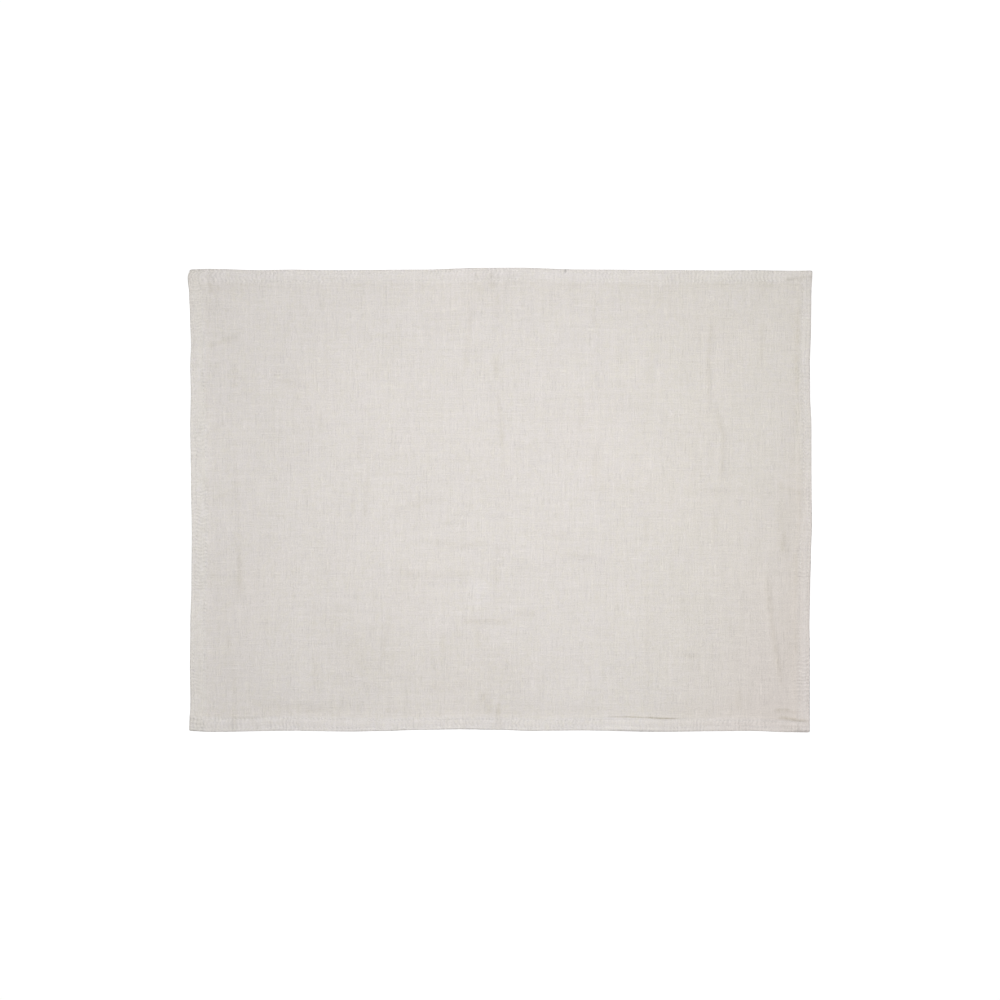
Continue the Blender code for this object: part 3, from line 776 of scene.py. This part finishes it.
class Shade:  # a socket whose sums and products add nodes
    def __init__(self, tree, socket=None):
        self.tree, self.socket = tree, socket

    def node(self, kind, settings=None, sockets=None, output=0):
        made = self.tree.nodes.new(kind)
        for key, value in (settings or {}).items():
            setattr(made, key, value)
        for key, value in (sockets or {}).items():
            if isinstance(value, Shade):
                self.tree.links.new(value.socket, made.inputs[key])
            else:
                made.inputs[key].default_value = value
        return Shade(self.tree, made.outputs[output])

    def math(self, operation, *values):
        sockets = dict(enumerate((self, *values)))
        return self.node("ShaderNodeMath", {"operation": operation}, sockets)

    def __add__(self, other):
        return self.math("ADD", other)

    def __sub__(self, other):
        return self.math("SUBTRACT", other)

    def __rsub__(self, other):
        return self.node("ShaderNodeMath", {"operation": "SUBTRACT"}, {0: other, 1: self})

    def __mul__(self, other):
        return self.math("MULTIPLY", other)

    __radd__, __rmul__ = __add__, __mul__

    def __truediv__(self, other):
        return self.math("DIVIDE", other)

    def between(self, low, high):  # 0 below low, 1 above high
        sockets = {"Value": self, "From Min": low, "From Max": high}
        return self.node("ShaderNodeMapRange", {"interpolation_type": "SMOOTHSTEP"}, sockets)

    def axis(self, number):  # one coordinate of a place
        return self.node("ShaderNodeSeparateXYZ", {}, {0: self}, number)

    def attribute(self, name, output="Fac"):
        return self.node("ShaderNodeAttribute", {"attribute_name": name}, {}, output)

    def noiseAt(self, x, y, detail=0.0, roughness=0.5):  # about -0.5 to 0.5
        vector = self.node("ShaderNodeCombineXYZ", {}, {0: x, 1: y})
        sockets = {"Vector": vector, "Scale": 1.0, "Detail": detail, "Roughness": roughness}
        return self.node("ShaderNodeTexNoise", {"noise_dimensions": "2D"}, sockets) - 0.5

    def bump(self, strength, distance):
        return self.node("ShaderNodeBump", {}, {"Strength": strength, "Distance": distance, "Height": self})

    def mixed(self, blend, factor, first, second):
        settings = {"data_type": "RGBA", "blend_type": blend}
        return self.node("ShaderNodeMix", settings, {0: factor, 6: first, 7: second}, 2)


def newMaterial(name):
    material = bpy.data.materials.new(name)
    material.use_nodes = True
    shader = material.node_tree.nodes["Principled BSDF"]
    return material, shader, Shade(material.node_tree)


def feed(shader, name, value):
    shader.id_data.links.new(value.socket, shader.inputs[name])


def setSockets(shader, values):
    for name, value in values.items():
        shader.inputs[name].default_value = value


# The cloth's finish. A scale is how many cells of noise there are to a metre.
linen = {
    "colour": (0.702, 0.665, 0.640, 1),
    "yellower": (0.701, 0.665, 0.612, 1),
    "pinker": (0.707, 0.651, 0.612, 1),
    "warpPitch": 0.74 * mm,  # warp yarns run up the mat, weft yarns across it
    "weftPitch": 0.72 * mm,
    "wander": 1.3,  # how far a yarn strays, in yarns
    "wanderScales": (80, 22),  # across the yarns and along them
    "warpStreak": 31 * mm,
    "weftStreak": 24 * mm,
    "streakDetail": (3.0, 0.62),
    "warpContrast": 0.142,
    "weftContrast": 0.128,
    "grainScale": 1000,
    "grainContrast": 0.19,
    "slubScales": (100, 95, 110),
    "slubStarts": (0.17, 0.18, 0.2),  # a thick place is where the noise is above this
    "slubFull": 0.3,
    "slubContrast": 0.058,
    "bandScales": (190, 26),  # groups of like yarns
    "bandContrast": 0.032,
    "cloudScale": 16,
    "cloudContrast": 0.04,
    "breakScale": 210,
    "creaseBreaks": 2.0,  # how unevenly the painted shade of the creases darkens
    "creaseTint": (0.92, 1.0, 1.3),  # shares of that painted shade that reach red, green and blue
    "yarnHeight": 0.05 * mm,
    "roughness": 0.88,
    "sockets": {"Sheen Weight": 0.12, "Sheen Roughness": 0.5, "Specular IOR Level": 0.25},
}
relief = {  # in yarn heights
    "topYarn": 0.3,
    "warpStreak": 1.6,
    "weftStreak": 1.2,
    "slub": 1.5,
    "pucker": 2.2,
    "hole": 1.5,
}
tints = {  # shares of the yellower and pinker colours, by places on the flat cut
    "yellow": 0.32,
    "yellowRight": 0.4,
    "rightAcross": (0.31, 0.42),
    "rightUp": (0.1, 0.3),
    "yellowHem": 0.6,  # in the left hem
    "yellowHemEnd": (14 * mm, 9 * mm),
    "blotch": 1.3,
    "blotchScale": 55,
    "fleck": 2.2,
    "fleckScale": 260,
    "streak": 0.5,
    "pinkCorner": (0.33, 0.51),
    "pinkPatch": 0.5,
    "patchScale": 11,
}

# Small crisp marks too fine for the mesh: middle, half sizes in mm, and share by which they darken. The flaw
# is a real mark; the others are painted shade of crisp creases.
spots = [
    (50.6, 177.1, 0.9, 1.3, 0.26),  # a flaw in the top hem
    (-206.3, -173.2, 0.9, 5.2, 0.08),  # a press line across the bottom hem
    (-18.7, 172.6, 0.9, 2.4, 0.05),  # three across the top one, and one along it
    (-6.4, 172.8, 1.0, 2.4, 0.06),
    (-1.9, 172.6, 0.9, 2.6, 0.06),
    (-6.0, 166.3, 4.6, 0.8, 0.05),
    (222.3, 170.6, 2.2, 1.1, 0.07),  # at the top right corner
    (228.1, 166.7, 2.2, 1.0, 0.05),
    (233.9, 163.2, 1.1, 2.0, 0.07),
    (239.5, 173.1, 1.1, 1.6, 0.06),
    (227.2, -168.5, 2.6, 0.7, 0.06),  # at the bottom right one
]
spotEdge = (1.7, 0.2)  # squared, in half sizes, from outside in

# A range runs from where a mark starts to where it is full. Scales are along a hem and across it.
sewingMarks = {
    "holeShade": 0.065,
    "holeAcross": (0.75 * mm, 0.15 * mm),
    "holeAlong": (0.1, 0.8),  # of the wave that peaks at each hole
    "pull": (-0.15, 0.3),  # how hard the thread pulls there
    "pullScales": (33, 200),
    "puckerShade": 0.034,
    "puckerWander": 1.1,  # in stitches
    "wanderScales": (75, 110),
    "puckerLean": 9 * mm,
    "puckerPull": (-0.25, 0.2),
    "puckerScales": (40, 60),
    "puckerReach": (4.5 * mm, -0.5 * mm),  # past the inner row
    "foldPlace": -0.05 * mm,  # of the painted shade line along the outer fold
    "foldEdge": (1.35 * mm, 0.5 * mm),
    "foldUneven": 1.6,
    "foldScale": 90,
    "besidePlace": 2.1 * mm,  # of the painted highlight line beside it
    "besideEdge": (0.9 * mm, 0.2 * mm),
    "besideShare": 0.35,
}


def weaveOf(shade, across, up):  # brightness, height and streaks; each yarn reads its own line of the noise
    wide, long = linen["wanderScales"]
    warpPlace = across / linen["warpPitch"] + linen["wander"] * shade.noiseAt(across * wide, up * long)
    weftPlace = up / linen["weftPitch"] + linen["wander"] * shade.noiseAt(across * long, up * wide + 50)
    warp, weft = warpPlace.math("FLOOR"), weftPlace.math("FLOOR")
    warpStreak = shade.noiseAt(warp * 5.37, up / linen["warpStreak"], *linen["streakDetail"])
    weftStreak = shade.noiseAt(weft * 4.71 + 300, across / linen["weftStreak"], *linen["streakDetail"])
    grain = shade.noiseAt(across * linen["grainScale"], up * linen["grainScale"], 1.0)
    wide, long = linen["bandScales"]
    bands = shade.noiseAt(across * wide, up * long, 1.0) + shade.noiseAt(across * long, up * wide + 80, 1.0)
    cloud = shade.noiseAt(across * linen["cloudScale"] + 7, up * linen["cloudScale"], 3.0)
    warpScale, weftScale, darkScale = linen["slubScales"]
    thick = (
        shade.noiseAt(warp * 9.13 + 40, up * warpScale),
        shade.noiseAt(weft * 8.77 + 700, across * weftScale),
        shade.noiseAt(warp * 7.31 + 90, up * darkScale + 11),
    )
    warpSlub, weftSlub, darkSlub = (
        slub.between(start, linen["slubFull"]) for slub, start in zip(thick, linen["slubStarts"]))

    weave = 1 + linen["warpContrast"] * warpStreak + linen["weftContrast"] * weftStreak
    weave = weave + linen["grainContrast"] * grain + linen["cloudContrast"] * cloud
    weave = weave + linen["bandContrast"] * bands
    weave = weave + linen["slubContrast"] * (warpSlub.math("MAXIMUM", weftSlub) - darkSlub)

    # Each crossing is a small bump, and the yarn on top stands out a little.
    crossing = (warpPlace * pi).math("SINE") * (weftPlace * pi).math("SINE")
    height = crossing.math("ABSOLUTE") + relief["topYarn"] * crossing
    height = height + relief["warpStreak"] * warpStreak + relief["weftStreak"] * weftStreak
    height = height + relief["slub"] * warpSlub + relief["slub"] * weftSlub
    return weave, height, warpStreak, weftStreak


# Painted shade at the needle's holes, painted shade and light of the puckers, and painted shade and highlight
# along the outer fold of one hem, by places on the flat cloth.
def hemMarks(shade, inset, along, hem, seed):
    outerRow, innerRow = hem["rows"]
    outerOff, innerOff = inset - outerRow, inset - innerRow
    off = outerOff.math("ABSOLUTE").math("MINIMUM", innerOff.math("ABSOLUTE"))
    phase = along / stitching["pitch"]
    holeWave = (phase * (2 * pi)).math("COSINE")
    long, wide = sewingMarks["pullScales"]
    pulled = shade.noiseAt(along * long + seed + 5, inset * wide).between(*sewingMarks["pull"])
    hole = off.between(*sewingMarks["holeAcross"]) * holeWave.between(*sewingMarks["holeAlong"]) * pulled
    long, wide = sewingMarks["wanderScales"]
    wander = sewingMarks["puckerWander"] * shade.noiseAt(along * long + seed, inset * wide)
    long, wide = sewingMarks["puckerScales"]
    strength = shade.noiseAt(along * long + seed, inset * wide + 9).between(*sewingMarks["puckerPull"])
    puckerWave = ((phase + 0.5 + wander + off / sewingMarks["puckerLean"]) * (2 * pi)).math("COSINE")
    pucker = puckerWave * strength * (inset - innerRow).between(*sewingMarks["puckerReach"])
    # The painted shade line along the outer fold, less a painted highlight line beside it.
    line = (inset - sewingMarks["foldPlace"]).math("ABSOLUTE").between(*sewingMarks["foldEdge"])
    beside = (inset - sewingMarks["besidePlace"]).math("ABSOLUTE").between(*sewingMarks["besideEdge"])
    uneven = shade.noiseAt(along * sewingMarks["foldScale"] + seed + 4, 0.5, 2.0)
    fold = (line - sewingMarks["besideShare"] * beside) * (1 + sewingMarks["foldUneven"] * uneven)
    return hole, pucker, fold


def allHemMarks(shade, insets, alongWeft, alongWarp):
    marks = []
    for number, (name, inset) in enumerate(insets.items()):
        along = (alongWarp if name in ("left", "right") else alongWeft) - hems[name]["phase"]
        marks.append(hemMarks(shade, inset.math("ABSOLUTE"), along, hems[name], 7.7 * number))
    return [sum(kind[1:], kind[0]) for kind in zip(*marks)]


def spotsOn(insets):  # how much the small marks darken the cloth: the flaw, and painted crease shade
    dark = 0
    for x, y, halfX, halfY, share in spots:
        offX = (insets["left"] - (cloth["width"] / 2 - shift.x + x * mm)) / (halfX * mm)
        offY = (insets["bottom"] - (cloth["depth"] / 2 - shift.y + y * mm)) / (halfY * mm)
        dark = dark + share * (offX * offX + offY * offY).between(*spotEdge)
    return dark


def tintOf(shade, across, up, streaks, fromLeft):
    scale = tints["blotchScale"]
    blotch = shade.noiseAt(across * scale + 31, up * scale + 5, 4.0, 0.7)
    scale = tints["fleckScale"]
    fleck = shade.noiseAt(across * scale, up * scale + 60, 2.0, 0.7)
    right = across.between(*tints["rightAcross"]) * (up + 0.5 * across).between(*tints["rightUp"])
    yellow = tints["yellow"] + tints["yellowRight"] * right + tints["blotch"] * blotch
    yellow = yellow + tints["yellowHem"] * fromLeft.between(*tints["yellowHemEnd"])
    yellow = yellow + tints["fleck"] * fleck - tints["streak"] * streaks
    scale = tints["patchScale"]
    patch = shade.noiseAt(across * scale + 31, up * scale + 5, 1.0)
    pink = (across - 0.4 * up).between(*tints["pinkCorner"]) + tints["pinkPatch"] * patch
    colour = shade.mixed("MIX", yellow, linen["colour"], linen["yellower"])
    return shade.mixed("MIX", pink, colour, linen["pinker"])


def linenMaterial():
    material, shader, shade = newMaterial("linen")
    place = shade.node("ShaderNodeUVMap", {"uv_map": "cut"})
    drift = shade.attribute("drift", "Vector")
    alongWeft, alongWarp = place.axis(0), place.axis(1)
    across, up = alongWeft + drift.axis(0), alongWarp + drift.axis(1)
    weave, height, warpStreak, weftStreak = weaveOf(shade, across, up)

    insets = {  # from each hem's outer fold, on the flat cloth
        "left": alongWeft - flatPlace("face", 0, hems["left"]["width"]),
        "right": cut["width"] - flatPlace("face", 0, hems["right"]["width"]) - alongWeft,
        "bottom": alongWarp - flatPlace("face", 0, hems["bottom"]["width"]),
        "top": cut["depth"] - flatPlace("face", 0, hems["top"]["width"]) - alongWarp,
    }
    holes, pucker, folds = allHemMarks(shade, insets, alongWeft, alongWarp)
    # Painted shade in the holes, painted shade and light on the puckers, painted shade and highlight along
    # the outer folds; then the flaw and the painted shade of crisp creases.
    weave = weave - sewingMarks["holeShade"] * holes + sewingMarks["puckerShade"] * pucker
    weave = weave - 0.01 * shade.attribute("foldShadePercent") * folds - spotsOn(insets)

    # The painted shade of creases, pleat and hems breaks up along its length, and looks a little yellower.
    scale = linen["breakScale"]
    breaks = 1 + linen["creaseBreaks"] * shade.noiseAt(across * scale + 3, up * scale + 17, 2.0, 0.7)
    shadeAndPaleness = 0.01 * shade.attribute("shadeAndPaleness") * breaks
    sockets = {channel: weave - share * shadeAndPaleness for channel, share in enumerate(linen["creaseTint"])}
    brightness = shade.node("ShaderNodeCombineColor", {}, sockets)
    colour = tintOf(shade, across, up, warpStreak + weftStreak, insets["left"])
    feed(shader, "Base Color", shade.mixed("MULTIPLY", 1.0, colour, brightness))

    height = height + relief["pucker"] * pucker - relief["hole"] * holes
    feed(shader, "Normal", height.bump(1.0, linen["yarnHeight"]))
    feed(shader, "Roughness", linen["roughness"] + 0.1 * warpStreak)
    setSockets(shader, linen["sockets"])
    return material


thread = {
    "duller": (0.71, 0.68, 0.645, 1),
    "brighter": (0.80, 0.775, 0.74, 1),
    "fineScale": 900.0,
    "tintScale": 45.0,
    "tintRange": (0.35, 0.65),
    "contrast": 0.25,
    "roughness": 0.7,
    "bump": 0.6,
    "height": 0.05 * mm,
}


def threadMaterial():
    material, shader, shade = newMaterial("sewingThread")
    place = shade.node("ShaderNodeTexCoord", {}, {}, "Object")
    sockets = {"Vector": place, "Scale": thread["fineScale"], "Detail": 1.0}
    fine = shade.node("ShaderNodeTexNoise", {}, sockets) - 0.5
    sockets = {"Vector": place, "Scale": thread["tintScale"], "Detail": 2.0}
    share = shade.node("ShaderNodeTexNoise", {}, sockets).between(*thread["tintRange"])
    colour = shade.mixed("MIX", share, thread["duller"], thread["brighter"])
    colour = shade.mixed("MULTIPLY", 1.0, colour, 1 + thread["contrast"] * fine)
    feed(shader, "Base Color", colour)
    feed(shader, "Roughness", thread["roughness"] + 0.2 * fine)
    feed(shader, "Normal", fine.bump(thread["bump"], thread["height"]))
    return material


def stitchRows():  # the needle's holes, row by row, on the straight mat
    halfWidth, halfDepth = cloth["width"] / 2, cloth["depth"] / 2
    pitch, endGap = stitching["pitch"], stitching["endGap"]
    for name, hem in hems.items():
        upright = name in ("left", "right")
        half = halfDepth if upright else halfWidth
        startHem = hems["bottom" if upright else "left"]
        start = flatPlace("face", 0, startHem["width"]) - hem["phase"]  # the first fold, from the first hole
        first = floor((start + endGap) / pitch) + 1
        last = floor((start + 2 * half - endGap) / pitch)
        holes = [number * pitch - start - half for number in range(first, last + 1)]
        side = -1 if name in ("left", "bottom") else 1
        for row in hem["rows"]:
            if upright:
                yield name, [(side * (halfWidth - row), along) for along in holes]
            else:
                yield name, [(along, side * (halfDepth - row)) for along in holes]


def stitchShape():  # one stitch along X, bowed so that both ends go down into the cloth
    bm = bmesh.new()
    bmesh.ops.create_uvsphere(bm, u_segments=6, v_segments=6, radius=0.5)
    long, wide, high = stitching["length"], stitching["wide"], stitching["high"]
    for vert in bm.verts:
        x, y, z = vert.co.z * long, vert.co.x * wide, vert.co.y * high
        vert.co = (x, y, z - stitching["bow"] * (x / long * 2) ** 2)
    bmesh.ops.recalc_face_normals(bm, faces=bm.faces[:])
    mesh = bpy.data.meshes.new("stitch")
    bm.to_mesh(mesh)
    bm.free()
    return mesh


def makeStitches():
    bm = bmesh.new()
    shape = stitchShape()
    half = cloth["thick"] / 2
    turn, turnUneven = stitching["turn"]
    count = 0
    for name, holes in stitchRows():
        direction = 0.0 if name in ("top", "bottom") else pi / 2
        for number, ((x0, y0), (x1, y1)) in enumerate(zip(holes, holes[1:])):
            x, y = (x0 + x1) / 2, (y0 + y1) / 2
            lean = turn + turnUneven * noise.noise(Vector((number * 0.7, x0 / mm, 2.2)))
            top, lift = topHeight(x, y)
            movedX, movedY = movedPlace(x, y)
            press = 0.5 if sideDepth(x) < 0 and endDepth(y) < 0 else 1.0
            above = Vector((movedX, movedY, top + half * press + stitching["above"])) + shift
            below = Vector((movedX, movedY, lift + stitching["lift"] - stitching["below"])) + shift
            for place, turned, flip in ((above, lean, 0), (below, -lean, pi)):
                spun = Matrix.Rotation(direction + turned, 4, "Z") @ Matrix.Rotation(flip, 4, "X")
                move = Matrix.Translation(place) @ spun
                shape.transform(move)
                bm.from_mesh(shape)
                shape.transform(move.inverted())
                count += 1
    piece = newPiece("hemStitches", bm)
    piece.data.shade_smooth()
    print(count, "stitches")
    return piece


clothPiece = makeCloth()
clothPiece.data.materials.clear()
clothPiece.data.materials.append(linenMaterial())
stitchPiece = makeStitches()
stitchPiece.data.materials.append(threadMaterial())
for piece in (clothPiece, stitchPiece):
    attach(piece, "root")
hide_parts("placemat")
print("mat dressed")

studio = {
    "frameWidth": 773.3 * mm,  # what the photo's width covers at the mat
    "lens": 85.0,
    "sensor": 36.0,
    "lookAt": (0.0, 0.04 * mm),
    "lampHeight": 0.78,
    "lampPlace": (0.015, 0.03),
    "lampSize": 0.5,
    "lampPower": 5.93,
    "keyStrength": 0.3,
    "keySpread": 12,  # degrees
    "keyDirection": (0.45, -0.8, -0.9),
    "worldStrength": 0.12,
    "floorSize": 3.0,
    "floorDrop": 0.1 * mm,  # keeps it clear of the cloth's underside
    "floorGlow": 0.9,
    "floorSockets": {"Base Color": (0.2, 0.2, 0.2, 1), "Roughness": 0.9, "Specular IOR Level": 0.1},
    "backdropRadius": 14.0,
    "backdropGlow": 0.97,
    "backdropSockets": {"Base Color": (0.0, 0.0, 0.0, 1), "Specular IOR Level": 0.0},
}


def glowingMaterial(name, glow, sockets):
    material, shader = newMaterial(name)[:2]
    setSockets(shader, {"Emission Color": (1, 1, 1, 1), "Emission Strength": glow, **sockets})
    return material


def makeFloor():
    bm = bmesh.new()
    bmesh.ops.create_grid(bm, x_segments=1, y_segments=1, size=studio["floorSize"])
    bmesh.ops.translate(bm, verts=bm.verts[:], vec=(0, 0, -studio["floorDrop"]))
    floorPiece = newPiece("floor", bm)
    pale = glowingMaterial("paleFloor", studio["floorGlow"], studio["floorSockets"])
    floorPiece.data.materials.append(pale)


def makeBackdrop():  # a pale dome that only the camera sees, so it adds no light
    bm = bmesh.new()
    bmesh.ops.create_uvsphere(bm, u_segments=48, v_segments=24, radius=studio["backdropRadius"])
    dome = newPiece("backdrop", bm)
    dome.visible_diffuse = False
    dome.visible_glossy = False
    dome.visible_transmission = False
    dome.visible_shadow = False
    pale = glowingMaterial("paleBackdrop", studio["backdropGlow"], studio["backdropSockets"])
    dome.data.materials.append(pale)


def makeLights():
    lamp = bpy.data.lights.new("softLamp", "AREA")
    lamp.shape = "DISK"
    lamp.size = studio["lampSize"]
    lamp.energy = studio["lampPower"]
    lampObject = bpy.data.objects.new("softLamp", lamp)
    lampObject.location = (*studio["lampPlace"], studio["lampHeight"])
    lampObject.visible_camera = False
    key = bpy.data.lights.new("lowKey", "SUN")
    key.energy = studio["keyStrength"]
    key.angle = radians(studio["keySpread"])
    keyObject = bpy.data.objects.new("lowKey", key)
    keyObject.rotation_euler = Vector(studio["keyDirection"]).to_track_quat("-Z", "Y").to_euler()
    for item in (lampObject, keyObject):
        bpy.context.scene.collection.objects.link(item)
    world = bpy.data.worlds.new("studio")
    world.use_nodes = True
    world.node_tree.nodes["Background"].inputs["Color"].default_value = (1, 1, 1, 1)
    world.node_tree.nodes["Background"].inputs["Strength"].default_value = studio["worldStrength"]
    bpy.context.scene.world = world


def makeCamera():
    camera = bpy.data.cameras.new("camera")
    camera.lens = studio["lens"]
    camera.sensor_width = studio["sensor"]
    camera.clip_start = 0.01
    cameraObject = bpy.data.objects.new("camera", camera)
    distance = studio["frameWidth"] * studio["lens"] / studio["sensor"]
    cameraObject.location = (*studio["lookAt"], distance + cadSize.z / 2)
    bpy.context.scene.collection.objects.link(cameraObject)
    bpy.context.scene.camera = cameraObject


makeFloor()
makeBackdrop()
makeLights()
makeCamera()
bpy.context.scene.view_settings.view_transform = "Standard"
print("studio set")
